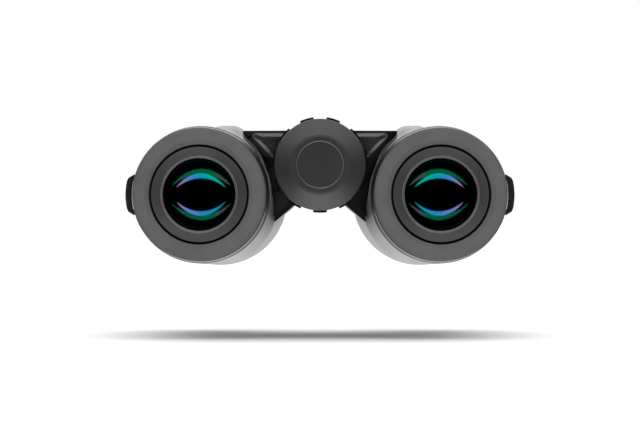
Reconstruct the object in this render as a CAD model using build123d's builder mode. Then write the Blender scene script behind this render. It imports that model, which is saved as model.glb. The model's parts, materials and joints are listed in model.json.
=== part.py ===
import os
from math import atan2, cos, degrees, hypot, radians, sin

from build123d import *

os.makedirs("parts", exist_ok=True)

# Roof-prism binoculars, in millimetres. X runs to the user's right, Y from the eyepieces to the
# objectives, Z up. The origin is under the middle, at the height of the lowest point of the barrels.
# Stations are lengths along Y from the eyecup faces, and radii are taken from each turned piece's axis.

# Whole instrument
length = 122.0
ocular_spacing = 70.0
hinge_rise = 8.7

# Clearances
running = 0.05
bond = 0.05
free = 0.4

# Eyecups: soft rubber cup on a sleeve, twisted up and down on a guide ring
eyecup_step = 0.6
eyecup_wall = 2.05
eyecup_height = 13.8
eyecup_lip = 2.0
eyecup_mouth_inset = 0.2
eyecup_edge = 1.5
eyecup_mouth_edge = 0.6
sleeve_wall = 1.6
guide_wall = 1.0

# Eyepieces
ocular_tube_wall = 1.45
ocular_tube_start = 5.0
ocular_cell_wall = 1.45
ocular_cell_margin = 1.85
bezel_recess = 1.2
bezel_gap = 0.35
bezel_flange = 2.2
bezel_throat_inset = 0.25
bezel_lip = 0.94
bezel_funnel_depth = 1.8
bezel_rim_depth = 0.7
bezel_length = 3.6
eye_lens_bulge = 2.2
eye_lens_edge = 3.0
field_lens_bulge = 1.2
field_lens_edge = 4.0
ocular_air_gap = 3.4

# Collars behind the eyecups: the right one is the dioptre ring
collar_gap = 0.8
collar_wall = 2.4
collar_length = 9.2
collar_flange = 1.4
collar_edge = 0.5

# Barrels: light metal chassis under rubber armour
barrel_radius = 18.7
barrel_wall = 1.5
barrel_rear_wall = 4.0
barrel_front_step = 0.7
barrel_front_wall = 1.3
front_land = 15.0
front_taper_length = 8.0
hood_length = 5.0
hood_lip = 0.5
armour_rear_wall = 1.5
armour_front_wall = 1.9
armour_edge = 1.0
swell_inset = 0.2
swell_inward = 3.5
swell_drop = 1.0
swell_setback = 4.0
swell_ramp = 12.0
swell_front_gap = 2.0

# Bridge: arms of both chassis, meeting in a three-knuckle hinge
bridge_start = 30.0
bridge_length = 64.0
knuckle_wall = 1.8
knuckle_gap = 0.3
rear_knuckle_length = 16.0
front_knuckle_length = 16.0
underside_slope = 40.3
run_in = 0.1
shoulder_rise = 0.3
shoulder_outer = 4.8
shoulder_width = 5.3
shoulder_slope = 2.4
web_tip = 8.0
lip_wall = 1.4
lip_start_angle = 35.0
lip_end_angle = 70.0
panel_outer = 20.0
panel_inner = 8.5
panel_point = 14.5
panel_top_margin = 1.4
panel_height = 6.4
panel_depth = 1.2
panel_corner = 0.8
fold_angle = 50.0
unfold_angle = 20.0

# Hinge axle and focus drive
axle_radius = 5.5
axle_wall = 1.5
journal_gap = 0.6
axle_seat = 6.0
bush_wall = 0.9
bush_length = 5.0
chamber_length = 22.0
screw_radius = 2.0
screw_tail = 3.0
nut_length = 8.0
drive_collar_gap = 0.7
groove_floor = 1.05
groove_depth = 1.2
groove_width = 3.0
drive_pin_radius = 1.0
drive_pin_seat = 1.3
focus_travel = 3.0
finger_height = 2.0
finger_width = 2.6
finger_tip_gap = 0.15
carriage_length = 10.0
carriage_wall = 4.85
focus_lens_edge = 4.0
focus_lens_bulge = 1.0
lock_screw_radius = 1.5

# Tripod insert: 1/4 inch thread in the front of the hinge
tripod_thread_radius = 3.175
tripod_insert_radius = 6.0
tripod_insert_length = 9.5

# Focus wheel
wheel_start = 8.0
wheel_collar_gap = 2.3
wheel_flange_drop = 0.4
wheel_flange = 3.4
wheel_edge = 1.0
wheel_bridge_gap = 0.6
wheel_plate = 5.4
disc_radius = 6.95
disc_thickness = 0.8
grip_wall = 1.0
grip_block_height = 0.8
grip_block_angle = 17.0
grip_block_count = 11
grip_end_margin = 1.2

# Prisms and their cage
prism_width = 17.0
prism_base = 8.5
prism_roof = 12.0
prism_rear_clearance = 1.6
roof_prism_length = 6.5
roof_prism_top_length = 16.2
prism_air_gap = 0.7
prism_overhang = 0.6
cage_gap = 0.8
cage_screw_radius = 0.8
cage_screw_inset = 1.2
cage_screw_length = 7.0
cage_screw_count = 3

# Objectives
objective_cell_gap = 0.2
objective_cell_wall = 1.5
objective_cell_length = 11.8
objective_seat = 1.6
objective_seat_lip = 1.05
objective_lens_edge = 8.5
objective_lens_front_bulge = 2.2
objective_lens_rear_bulge = 0.8
retainer_length = 2.4
retainer_lip = 0.7
seal_radius = 0.55

# Strap lugs on the outer sides
lug_stand = 1.1
lug_bar = 1.5
lug_height = 12.0
lug_foot = 1.6
lug_setback = 1.8
lug_length = 7.0
lug_corner = 1.4
lug_pocket_side = 0.3
lug_pocket_end = 4.0

# Derived places
armour_rear_radius = barrel_radius + armour_rear_wall
barrel_front_radius = barrel_radius + barrel_front_step
armour_front_radius = barrel_front_radius + armour_front_wall
optic_height = armour_front_radius
hinge_height = optic_height + hinge_rise
half_spacing = ocular_spacing / 2
arm_length = hypot(half_spacing, hinge_rise)
arm_droop = degrees(atan2(hinge_rise, half_spacing))
hinge = (0.0, hinge_height)

eyecup_radius = barrel_radius + eyecup_step
rubber_inner = eyecup_radius - eyecup_wall
sleeve_outer = rubber_inner - bond
sleeve_inner = sleeve_outer - sleeve_wall
guide_outer = sleeve_inner - running
guide_inner = guide_outer - guide_wall
ocular_tube_outer = guide_inner - running
ocular_tube_inner = ocular_tube_outer - ocular_tube_wall
ocular_cell_outer = ocular_tube_inner - running
ocular_cell_inner = ocular_cell_outer - ocular_cell_wall
ocular_lens_radius = ocular_cell_inner - bond
eyecup_mouth = guide_inner - eyecup_mouth_inset
bezel_radius = eyecup_mouth - bezel_gap
bezel_throat = ocular_lens_radius - bezel_throat_inset
bezel_aperture = ocular_lens_radius - bezel_lip
ocular_cell_start = bezel_recess + bezel_flange
eye_lens_rise = eye_lens_bulge * (1 - (bezel_aperture / ocular_lens_radius) ** 2)
eye_lens_start = bezel_recess + bezel_length + eye_lens_rise + run_in
eye_lens_end = eye_lens_start + eye_lens_edge
eye_lens_back = eye_lens_end + eye_lens_bulge / 2
field_lens_start = eye_lens_back + ocular_air_gap + field_lens_bulge
field_lens_end = field_lens_start + field_lens_edge
ocular_cell_end = field_lens_end + field_lens_bulge + ocular_cell_margin

collar_start = eyecup_height + collar_gap
collar_end = collar_start + collar_length
collar_bore = sleeve_outer + free
collar_radius = collar_bore + collar_wall
sleeve_end = collar_end - collar_flange - free
body_start = collar_end + free
body_floor = body_start + barrel_rear_wall
barrel_bore = barrel_radius - barrel_wall
front_bore = barrel_front_radius - barrel_front_wall
chassis_end = length - hood_length
front_taper_end = chassis_end - front_land
front_taper_start = front_taper_end - front_taper_length
front_bore_start = front_taper_end - front_taper_length / 2
hood_mouth = front_bore - hood_lip
swell_radius = armour_rear_radius - swell_inset
swell_start = bridge_start + swell_setback
swell_end = front_taper_end - swell_front_gap
lug_tip = armour_front_radius + lug_stand
lug_start = body_start + lug_setback

bridge_end = bridge_start + bridge_length
rear_knuckle_end = bridge_start + rear_knuckle_length
front_knuckle_start = bridge_end - front_knuckle_length
middle_knuckle = (rear_knuckle_end + knuckle_gap, front_knuckle_start - knuckle_gap)
focus_station = (middle_knuckle[0] + middle_knuckle[1]) / 2

axle_bore = axle_radius - axle_wall
axle_start = wheel_start + wheel_plate + journal_gap
axle_end = front_knuckle_start + axle_seat
drive_collar_bore = axle_radius + running
groove_radius = drive_collar_bore + groove_floor
drive_collar_radius = groove_radius + groove_depth
chamber_radius = drive_collar_radius + drive_collar_gap
knuckle_radius = chamber_radius + knuckle_wall
knuckle_sweep = knuckle_radius + free
bridge_top = knuckle_radius
screw_end = focus_station + nut_length / 2 + focus_travel + screw_tail
finger_tip = groove_radius + finger_tip_gap
tunnel_height = finger_height + 2 * free
tunnel_width = finger_width + 2 * focus_travel + 2 * free
wheel_end = bridge_start - wheel_bridge_gap
grip_block_radius = arm_length - collar_radius - wheel_collar_gap
grip_radius = grip_block_radius - grip_block_height
wheel_body_radius = grip_radius - grip_wall
wheel_radius = grip_block_radius - wheel_flange_drop
carriage_start = focus_station - carriage_length / 2
cage_end = carriage_start - focus_travel - cage_gap
cage_screw_circle = barrel_bore - cage_screw_inset
carriage_outer = barrel_bore - running
carriage_inner = carriage_outer - carriage_wall
objective_cell_start = front_bore_start + objective_cell_gap
objective_lens_start = objective_cell_start + objective_seat
objective_cell_outer = front_bore - bond
objective_lens_radius = objective_cell_outer - objective_cell_wall - bond
retainer_start = objective_cell_start + objective_cell_length


def station(along):
    """Row Y of a station."""
    return along - length / 2


def across(centre, along):
    """Plane square to an axis at a station, read as the user sees it: local x is X, local y is Z."""
    return Plane(origin=(centre[0], station(along), centre[1]), x_dir=(1, 0, 0), z_dir=(0, -1, 0))


def lengthwise(centre):
    """Plane through an axis for turned profiles: local x is the radius, local y the station."""
    return Plane(origin=(centre[0], station(0), centre[1]), x_dir=(1, 0, 0), z_dir=(0, 0, 1))


def side_on(centre):
    """Upright plane through an axis: local x is the station, local y the height over the axis."""
    return Plane(origin=(centre[0], station(0), centre[1]), x_dir=(0, 1, 0), z_dir=(1, 0, 0))


def along_arm(side):
    """Plane square to the optical axis at the focus station, local x running from the hinge down the arm."""
    droop = radians(arm_droop)
    return Plane(
        origin=(0, station(focus_station), hinge_height),
        x_dir=(side * cos(droop), 0, -sin(droop)),
        z_dir=(0, -1, 0),
    )


def barrel_axis(side):
    """X and Z of an optical axis."""
    return (side * half_spacing, optic_height)


def turned(centre, corners, mode=Mode.ADD):
    """Turned body about an axis, from its (radius, station) corners."""
    with BuildSketch(lengthwise(centre)) as profile:
        with BuildLine():
            Polyline(*corners, close=True)
        make_face()
    revolve(profile.sketch, axis=Axis((centre[0], 0, centre[1]), (0, 1, 0)), mode=mode)


def ring(centre, inner, outer, start, end, mode=Mode.ADD):
    """Plain turned ring between two radii and two stations."""
    turned(centre, [(inner, start), (outer, start), (outer, end), (inner, end)], mode)


def lens(centre, radius, rear_apex, rear_rim, front_rim, front_apex):
    """Ground lens with two spherical faces."""
    with BuildSketch(lengthwise(centre)) as profile:
        with BuildLine():
            TangentArc((0, rear_apex), (radius, rear_rim), tangent=(1, 0))
            Line((radius, rear_rim), (radius, front_rim))
            TangentArc((0, front_apex), (radius, front_rim), tangent=(1, 0))
            Line((0, front_apex), (0, rear_apex))
        make_face()
    revolve(profile.sketch, axis=Axis((centre[0], 0, centre[1]), (0, 1, 0)))


def keep(builder, name):
    """Label a finished piece and write it out."""
    builder.part.label = name
    export_step(builder.part, f"parts/{name}.step")


def underside(side, radius):
    """Point where the sloping underside meets a barrel of this radius, and its unit run up to the hinge."""
    slope = radians(underside_slope)
    foot = (side * (half_spacing - radius * sin(slope)), -hinge_rise - radius * cos(slope))
    run = (-side * cos(slope), sin(slope))
    return foot, run


def along_underside(side, radius, offset_x):
    """Point of the underside line at a distance from the hinge's upright plane."""
    foot, run = underside(side, radius)
    steps = (side * offset_x - foot[0]) / run[0]
    return (foot[0] + steps * run[0], foot[1] + steps * run[1])


def arm_section(side):
    """Section of a bridge arm, drawn from the hinge axis: flat top, sloping underside."""
    foot, _ = underside(side, barrel_radius - run_in)
    with BuildLine() as outline:
        Polyline(
            (0, bridge_top),
            (side * half_spacing, bridge_top),
            (side * half_spacing, -hinge_rise),
            foot,
            along_underside(side, barrel_radius - run_in, 0),
            close=True,
        )
    make_face(outline.edges())


def sector(start_angle, end_angle):
    """Flat sector about the hinge axis, reaching past the knuckles, from angles read as the user sees it."""
    reach = 2 * knuckle_radius
    angles = [radians(a) for a in (start_angle, (start_angle + end_angle) / 2, end_angle)]
    with BuildLine() as outline:
        Polyline((0, 0), *[(reach * cos(a), reach * sin(a)) for a in angles], close=True)
    return make_face(outline.edges(), mode=Mode.PRIVATE)


def barrel_outline(gap):
    """Outer profile of a chassis barrel, grown by a gap: body, front taper, objective end."""
    return [
        (0, body_start),
        (barrel_radius + gap, body_start),
        (barrel_radius + gap, front_taper_start),
        (barrel_front_radius + gap, front_taper_end),
        (barrel_front_radius + gap, chassis_end + gap),
        (0, chassis_end + gap),
    ]


# Knuckle spans of each half: the left chassis is the fork, the right one the tongue
knuckle_spans = {
    -1: [(bridge_start, rear_knuckle_end), (front_knuckle_start, bridge_end)],
    1: [middle_knuckle],
}
hands = ((-1, "left"), (1, "right"))

for side, hand in hands:
    optic = barrel_axis(side)

    # Chassis: barrel and bridge arm in one light metal casting
    with BuildPart() as chassis:
        turned(optic, barrel_outline(0))
        with BuildSketch(across(hinge, bridge_start)):
            arm_section(side)
        extrude(amount=-bridge_length)
        for start, end in knuckle_spans[-side]:
            ring(hinge, 0, knuckle_sweep, start - knuckle_gap, end + knuckle_gap, Mode.SUBTRACT)
        for start, end in knuckle_spans[side]:
            ring(hinge, 0, knuckle_radius, start, end)

        # Lips of the arm that wrap under the other half's knuckles
        for start, end in knuckle_spans[-side]:
            with BuildSketch(across(hinge, start)):
                Circle(knuckle_sweep + lip_wall)
                Circle(knuckle_sweep, mode=Mode.SUBTRACT)
                outward = 0 if side > 0 else 180
                near_angle = outward - side * lip_start_angle
                far_angle = outward - side * lip_end_angle
                add(sector(near_angle, far_angle), mode=Mode.INTERSECT)
            extrude(amount=-(end - start))

        # Stepped bore: eyepiece seat, prism and focusing bore, objective bore
        turned(
            optic,
            [
                (0, body_start),
                (ocular_tube_outer + bond, body_start),
                (ocular_tube_outer + bond, body_floor),
                (barrel_bore, body_floor),
                (barrel_bore, front_taper_start),
                (front_bore, front_bore_start),
                (front_bore, chassis_end),
                (0, chassis_end),
            ],
            Mode.SUBTRACT,
        )

        # Sunken three-cornered panel in the rear face of the arm
        panel_top = bridge_top - panel_top_margin
        with BuildSketch(across(hinge, bridge_start)):
            with BuildLine():
                Polyline(
                    (side * panel_outer, panel_top),
                    (side * panel_inner, panel_top),
                    (side * panel_point, panel_top - panel_height),
                    close=True,
                )
            panel = make_face()
            fillet(panel.vertices(), radius=panel_corner)
        extrude(amount=-panel_depth, mode=Mode.SUBTRACT)

        # Hinge bores: the fork holds the axle and the tripod insert, the tongue holds the bushes
        if side < 0:
            ring(hinge, 0, axle_radius + bond, bridge_start, axle_end, Mode.SUBTRACT)
            ring(hinge, 0, tripod_insert_radius + bond, axle_end, bridge_end, Mode.SUBTRACT)
        else:
            bush_bore = axle_radius + running + bush_wall + bond
            ring(hinge, 0, bush_bore, *middle_knuckle, Mode.SUBTRACT)
            chamber_start = focus_station - chamber_length / 2
            ring(hinge, 0, chamber_radius, chamber_start, chamber_start + chamber_length, Mode.SUBTRACT)

        # Tunnel for the focusing finger, from the barrel to the hinge
        with BuildSketch(along_arm(side)):
            with Locations(((arm_length + axle_radius) / 2, 0)):
                Rectangle(arm_length - axle_radius, tunnel_height)
        extrude(amount=tunnel_width / 2, both=True, mode=Mode.SUBTRACT)

        # The tongue's window lets the left finger swing as the bridge folds
        if side > 0:
            finger_half_angle = degrees(atan2(tunnel_height / 2, chamber_radius))
            window_start = 180 + arm_droop - unfold_angle - finger_half_angle
            window_end = 180 + arm_droop + fold_angle + finger_half_angle
            with BuildSketch(across(hinge, focus_station)):
                add(sector(window_start, window_end))
            extrude(amount=tunnel_width / 2, both=True, mode=Mode.SUBTRACT)

        # Clearance holes for the prism cage screws, and tapped holes for the axle lock screws
        with Locations(across(optic, body_start)):
            with PolarLocations(cage_screw_circle, cage_screw_count, start_angle=90):
                Cylinder(cage_screw_radius + bond, 2 * barrel_rear_wall, mode=Mode.SUBTRACT)
        if side < 0:
            for start, end in knuckle_spans[side]:
                lock_station = (start + min(end, axle_end)) / 2
                with Locations((0, station(lock_station), hinge_height)):
                    Cylinder(
                        lock_screw_radius + bond,
                        knuckle_radius + run_in,
                        align=(Align.CENTER, Align.CENTER, Align.MAX),
                        mode=Mode.SUBTRACT,
                    )
    keep(chassis, f"{hand}_tube_chassis")

    # Space that the chassis takes out of the armour: barrel and arm, with the bond line
    with BuildPart() as chassis_space:
        turned(optic, barrel_outline(bond))
        with BuildSketch(across(hinge, bridge_start - free)):
            arm_section(side)
            offset(amount=bond, kind=Kind.INTERSECTION)
        extrude(amount=-(bridge_length + 2 * free))

    # Armour: moulded rubber skin, swelling to the inner lower side, with a flat shoulder over the bridge
    with BuildPart() as armour:
        turned(
            optic,
            [
                (0, body_start),
                (armour_rear_radius - armour_edge, body_start),
                (armour_rear_radius, body_start + armour_edge),
                (armour_rear_radius, front_taper_start),
                (armour_front_radius, front_taper_end),
                (armour_front_radius, length - armour_edge),
                (armour_front_radius - armour_edge, length),
                (0, length),
            ],
        )
        swell_sections = (
            (swell_start, 0),
            (swell_start + swell_ramp, 1),
            (swell_end - swell_ramp, 1),
            (swell_end, 0),
        )
        for along, share in swell_sections:
            with BuildSketch(across(optic, along)):
                with Locations((-side * swell_inward * share, -swell_drop * share)):
                    Circle(swell_radius - (1 - share) * armour_edge)
        loft(ruled=True)
        shoulder_top = armour_rear_radius + shoulder_rise - hinge_rise
        shoulder_in = half_spacing - shoulder_outer - shoulder_width
        with BuildSketch(across(hinge, bridge_start)):
            with BuildLine():
                Polyline(
                    (side * (half_spacing - shoulder_outer), shoulder_top),
                    (side * shoulder_in, shoulder_top),
                    (side * (shoulder_in - shoulder_slope), bridge_top),
                    (side * half_spacing, -hinge_rise),
                    close=True,
                )
            make_face()
            web_foot, web_run = underside(side, armour_rear_radius - run_in)
            web_end = along_underside(side, armour_rear_radius - run_in, web_tip)
            web_depth = armour_rear_radius - barrel_radius + run_in
            with BuildLine():
                Polyline(
                    (side * half_spacing, -hinge_rise),
                    web_foot,
                    web_end,
                    (web_end[0] + side * web_run[1] * web_depth, web_end[1] + abs(web_run[0]) * web_depth),
                    close=True,
                )
            make_face()
        extrude(amount=-bridge_length)
        add(chassis_space.part, mode=Mode.SUBTRACT)
        ring(optic, 0, hood_mouth, chassis_end, length, Mode.SUBTRACT)
        pocket_start = body_start
        pocket_end = lug_start + lug_length + lug_pocket_end
        with BuildSketch(across(optic, pocket_start)):
            with Locations((side * (barrel_radius + lug_tip) / 2, 0)):
                Rectangle(lug_tip, lug_height + 2 * lug_pocket_side)
        extrude(amount=-(pocket_end - pocket_start), mode=Mode.SUBTRACT)
    keep(armour, f"{hand}_armour")

    # Strap lug: a bar standing off the barrel on two feet
    with BuildPart() as lug:
        with BuildSketch(across(optic, lug_start)):
            with BuildLine():
                Polyline(
                    (0, -lug_height / 2),
                    (side * lug_tip, -lug_height / 2),
                    (side * lug_tip, lug_height / 2),
                    (0, lug_height / 2),
                    close=True,
                )
            lug_face = make_face()
            outer_corners = lug_face.vertices().group_by(Axis.X)[-1 if side > 0 else 0]
            fillet(outer_corners, radius=lug_corner)
            with Locations((side * (lug_tip - lug_bar) / 2, 0)):
                Rectangle(lug_tip - lug_bar, lug_height - 2 * lug_foot, mode=Mode.SUBTRACT)
        extrude(amount=-lug_length)
        ring(optic, 0, barrel_radius + bond, body_start, pocket_end, Mode.SUBTRACT)
    keep(lug, f"{hand}_strap_lug")

    # Objective group: cell, lens, threaded retaining ring, seal ring
    cell_bore = objective_lens_radius + bond
    with BuildPart() as objective_cell:
        turned(
            optic,
            [
                (cell_bore - objective_seat_lip, objective_cell_start),
                (objective_cell_outer, objective_cell_start),
                (objective_cell_outer, retainer_start),
                (cell_bore, retainer_start),
                (cell_bore, objective_lens_start - running),
                (cell_bore - objective_seat_lip, objective_lens_start - objective_lens_rear_bulge / 2),
            ],
        )
    keep(objective_cell, f"{hand}_objective_cell")

    with BuildPart() as objective_lens:
        lens_front = objective_lens_start + objective_lens_edge
        lens(
            optic,
            objective_lens_radius,
            objective_lens_start - objective_lens_rear_bulge,
            objective_lens_start,
            lens_front,
            lens_front + objective_lens_front_bulge,
        )
    keep(objective_lens, f"{hand}_objective_lens")

    with BuildPart() as retainer:
        retainer_end = retainer_start + retainer_length
        retainer_bore = objective_lens_radius - retainer_lip
        lens_rise = objective_lens_front_bulge * (1 - (retainer_bore / objective_lens_radius) ** 2)
        lip_start = lens_front + lens_rise + run_in
        turned(
            optic,
            [
                (cell_bore, retainer_start),
                (objective_cell_outer, retainer_start),
                (objective_cell_outer, retainer_end),
                (retainer_bore + retainer_lip, retainer_end),
                (retainer_bore, retainer_start + retainer_length / 2),
                (retainer_bore, lip_start),
                (cell_bore - bond, lip_start),
                (cell_bore - bond, retainer_start),
            ],
        )
    keep(retainer, f"{hand}_objective_retainer")

    with BuildPart() as seal:
        with BuildSketch(lengthwise(optic)):
            with Locations((objective_cell_outer - seal_radius, retainer_end + seal_radius)):
                Circle(seal_radius)
        revolve(axis=Axis((optic[0], 0, optic[1]), (0, 1, 0)))
    keep(seal, f"{hand}_objective_seal")

    # Focusing carriage: a ring sliding in the barrel, with a finger out to the drive collar
    with BuildPart() as carriage:
        ring(optic, carriage_inner, carriage_outer, carriage_start, carriage_start + carriage_length)
        finger_root = arm_length - (carriage_inner + carriage_outer) / 2
        with BuildSketch(along_arm(side)):
            with Locations(((finger_tip + finger_root) / 2, 0)):
                Rectangle(finger_root - finger_tip, finger_height)
        extrude(amount=finger_width / 2, both=True)
    keep(carriage, f"{hand}_focus_carriage")

    with BuildPart() as focus_lens:
        lens(
            optic,
            carriage_inner - bond,
            focus_station - focus_lens_edge / 2 - focus_lens_bulge,
            focus_station - focus_lens_edge / 2,
            focus_station + focus_lens_edge / 2,
            focus_station + focus_lens_edge / 2 + focus_lens_bulge,
        )
    keep(focus_lens, f"{hand}_focus_lens")

    # Prism cage, with a straight-sided well for the two prisms, and its screws
    with BuildPart() as cage:
        ring(optic, 0, barrel_bore - bond, body_floor, cage_end)
        with BuildSketch(across(optic, body_floor)):
            with Locations((0, (prism_roof - prism_base) / 2)):
                Rectangle(prism_width + 2 * bond, prism_base + prism_roof + 2 * bond)
        extrude(amount=-(cage_end - body_floor), mode=Mode.SUBTRACT)
        with Locations(across(optic, body_floor)):
            with PolarLocations(cage_screw_circle, cage_screw_count, start_angle=90):
                Cylinder(cage_screw_radius + bond, 2 * (cage_screw_length - barrel_rear_wall + free),
                         mode=Mode.SUBTRACT)
    keep(cage, f"{hand}_prism_cage")

    with BuildPart() as cage_screws:
        with Locations(across(optic, body_start)):
            with PolarLocations(cage_screw_circle, cage_screw_count, start_angle=90):
                Cylinder(cage_screw_radius, cage_screw_length, align=(Align.CENTER, Align.CENTER, Align.MAX))
    keep(cage_screws, f"{hand}_prism_screws")

    prism_start = body_floor + prism_rear_clearance
    gap_base = prism_start + roof_prism_length
    gap_top = prism_start + roof_prism_top_length
    with BuildPart() as roof_prism:
        with BuildSketch(side_on(optic)):
            with BuildLine():
                Polyline(
                    (prism_start, -prism_base),
                    (gap_base, -prism_base),
                    (gap_top, prism_roof),
                    (prism_start, prism_base),
                    close=True,
                )
            make_face()
        extrude(amount=prism_width / 2, both=True)
    keep(roof_prism, f"{hand}_roof_prism")

    with BuildPart() as half_penta:
        penta_base = gap_base + prism_air_gap
        penta_top = gap_top + prism_air_gap
        penta_end = cage_end + prism_overhang
        with BuildSketch(side_on(optic)):
            with BuildLine():
                Polyline(
                    (penta_base, -prism_base),
                    (penta_end, -prism_base),
                    (penta_end, prism_base),
                    (penta_top, prism_roof),
                    close=True,
                )
            make_face()
        extrude(amount=prism_width / 2, both=True)
    keep(half_penta, f"{hand}_half_penta_prism")

    # Eyepiece: fixed ocular tube, lens cell, two lenses, front bezel
    with BuildPart() as ocular_tube:
        ring(optic, ocular_tube_inner, ocular_tube_outer, ocular_tube_start, body_floor)
    keep(ocular_tube, f"{hand}_ocular_tube")

    with BuildPart() as ocular_cell:
        ring(optic, ocular_cell_inner, ocular_cell_outer, ocular_cell_start, ocular_cell_end)
    keep(ocular_cell, f"{hand}_ocular_cell")

    with BuildPart() as eye_lens:
        lens(
            optic,
            ocular_lens_radius,
            eye_lens_start - eye_lens_bulge,
            eye_lens_start,
            eye_lens_end,
            eye_lens_back,
        )
    keep(eye_lens, f"{hand}_eye_lens")

    with BuildPart() as field_lens:
        lens(
            optic,
            ocular_lens_radius,
            field_lens_start - field_lens_bulge,
            field_lens_start,
            field_lens_end,
            field_lens_end + field_lens_bulge,
        )
    keep(field_lens, f"{hand}_field_lens")

    with BuildPart() as bezel:
        throat_station = bezel_recess + bezel_funnel_depth
        turned(
            optic,
            [
                (bezel_radius, bezel_recess),
                (bezel_radius, ocular_cell_start),
                (ocular_lens_radius, ocular_cell_start),
                (ocular_lens_radius, bezel_recess + bezel_length),
                (bezel_aperture, bezel_recess + bezel_length),
                (bezel_aperture, throat_station + bezel_rim_depth),
                (bezel_throat, throat_station),
            ],
        )
    keep(bezel, f"{hand}_eye_bezel")

    # Eyecup: guide ring on the ocular tube, sleeve sliding on it, rubber cup on the sleeve
    with BuildPart() as guide:
        ring(optic, guide_inner, guide_outer, ocular_tube_start, sleeve_end)
    keep(guide, f"{hand}_eyecup_guide")

    with BuildPart() as sleeve:
        ring(optic, sleeve_inner, sleeve_outer, eyecup_lip, sleeve_end)
    keep(sleeve, f"{hand}_eyecup_sleeve")

    with BuildPart() as rubber:
        with BuildSketch(lengthwise(optic)) as rubber_profile:
            with BuildLine():
                Polyline(
                    (eyecup_mouth, 0),
                    (eyecup_radius, 0),
                    (eyecup_radius, eyecup_height),
                    (rubber_inner, eyecup_height),
                    (rubber_inner, eyecup_lip),
                    (eyecup_mouth, eyecup_lip),
                    close=True,
                )
            make_face()
            front_corners = rubber_profile.vertices().group_by(Axis.Y)[0].sort_by(Axis.X)
            fillet(front_corners[-1], radius=eyecup_edge)
            mouth_corner = rubber_profile.vertices().group_by(Axis.Y)[0].sort_by(Axis.X)[0]
            fillet(mouth_corner, radius=eyecup_mouth_edge)
        revolve(axis=Axis((optic[0], 0, optic[1]), (0, 1, 0)))
    keep(rubber, f"{hand}_eyecup_rubber")

    # Collar behind the eyecup, riding on the ocular tube by its flange: the right one sets the dioptre
    with BuildPart() as collar:
        flange_start = collar_end - collar_flange
        turned(
            optic,
            [
                (collar_bore, collar_start),
                (collar_radius - collar_edge, collar_start),
                (collar_radius, collar_start + collar_edge),
                (collar_radius, collar_end),
                (ocular_tube_outer + running, collar_end),
                (ocular_tube_outer + running, flange_start),
                (collar_bore, flange_start),
            ],
        )
    keep(collar, "left_collar" if side < 0 else "dioptre_ring")

# Hinge axle: a hollow shaft fixed in the fork, slotted for the drive pins, its rear end the wheel's journal
with BuildPart() as axle:
    ring(hinge, axle_bore, axle_radius, axle_start, axle_end)
    slot_length = 2 * (focus_travel + drive_pin_radius + free)
    with BuildSketch(Plane.XY.move(Location((0, station(focus_station), hinge_height)))):
        Rectangle(2 * (drive_pin_radius + running), slot_length)
    extrude(amount=knuckle_radius, both=True, mode=Mode.SUBTRACT)
keep(axle, "hinge_axle")

# Bronze bushes in both ends of the tongue
bush_inner = axle_radius + running
for place, bush_start in (("rear", middle_knuckle[0]), ("front", middle_knuckle[1] - bush_length)):
    with BuildPart() as bush:
        ring(hinge, bush_inner, bush_inner + bush_wall, bush_start, bush_start + bush_length)
    keep(bush, f"hinge_bush_{place}")

# Lock screws that hold the axle in the fork, from below
with BuildPart() as lock_screws:
    for start, end in knuckle_spans[-1]:
        lock_station = (start + min(end, axle_end)) / 2
        with Locations((0, station(lock_station), hinge_height - axle_radius - bond)):
            Cylinder(
                lock_screw_radius,
                knuckle_radius - axle_radius - free,
                align=(Align.CENTER, Align.CENTER, Align.MAX),
            )
keep(lock_screws, "axle_lock_screws")

# Tripod insert in the front end of the hinge
with BuildPart() as tripod_insert:
    insert_start = bridge_end - tripod_insert_length
    ring(hinge, tripod_thread_radius, tripod_insert_radius, insert_start, bridge_end)
keep(tripod_insert, "tripod_insert")

# Focus wheel: metal core with an end flange, turning on the axle's rear end
with BuildPart() as wheel_core:
    plate_end = wheel_start + wheel_plate
    turned(
        hinge,
        [
            (screw_radius + bond, wheel_start + disc_thickness),
            (disc_radius + bond, wheel_start + disc_thickness),
            (disc_radius + bond, wheel_start),
            (wheel_radius - wheel_edge, wheel_start),
            (wheel_radius, wheel_start + wheel_edge),
            (wheel_radius, wheel_start + wheel_flange),
            (wheel_body_radius, wheel_start + wheel_flange),
            (wheel_body_radius, wheel_end),
            (axle_radius + running, wheel_end),
            (axle_radius + running, plate_end),
            (screw_radius + bond, plate_end),
        ],
    )
keep(wheel_core, "focus_wheel_core")

# Rubber grip on the wheel, with raised blocks
with BuildPart() as wheel_grip:
    grip_start = wheel_start + wheel_flange
    grip_end = wheel_end - grip_end_margin
    ring(hinge, wheel_body_radius + bond, grip_radius, grip_start, grip_end)
    block_width = 2 * grip_block_radius * sin(radians(grip_block_angle / 2))
    block_inner = (wheel_body_radius + grip_radius) / 2
    with BuildSketch(across(hinge, grip_start)):
        with PolarLocations(0, grip_block_count, start_angle=-90):
            with Locations(((block_inner + grip_block_radius) / 2, 0)):
                Rectangle(grip_block_radius - block_inner, block_width)
        Circle(grip_block_radius, mode=Mode.INTERSECT)
    extrude(amount=-(grip_end - grip_start))
keep(wheel_grip, "focus_wheel_grip")

# Plain disc that closes the wheel's end
with BuildPart() as wheel_disc:
    ring(hinge, 0, disc_radius, wheel_start, wheel_start + disc_thickness)
keep(wheel_disc, "focus_wheel_disc")

# Focus screw inside the axle, fixed in the wheel
with BuildPart() as focus_screw:
    ring(hinge, 0, screw_radius, wheel_start + disc_thickness + bond, screw_end)
keep(focus_screw, "focus_screw")

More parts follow.
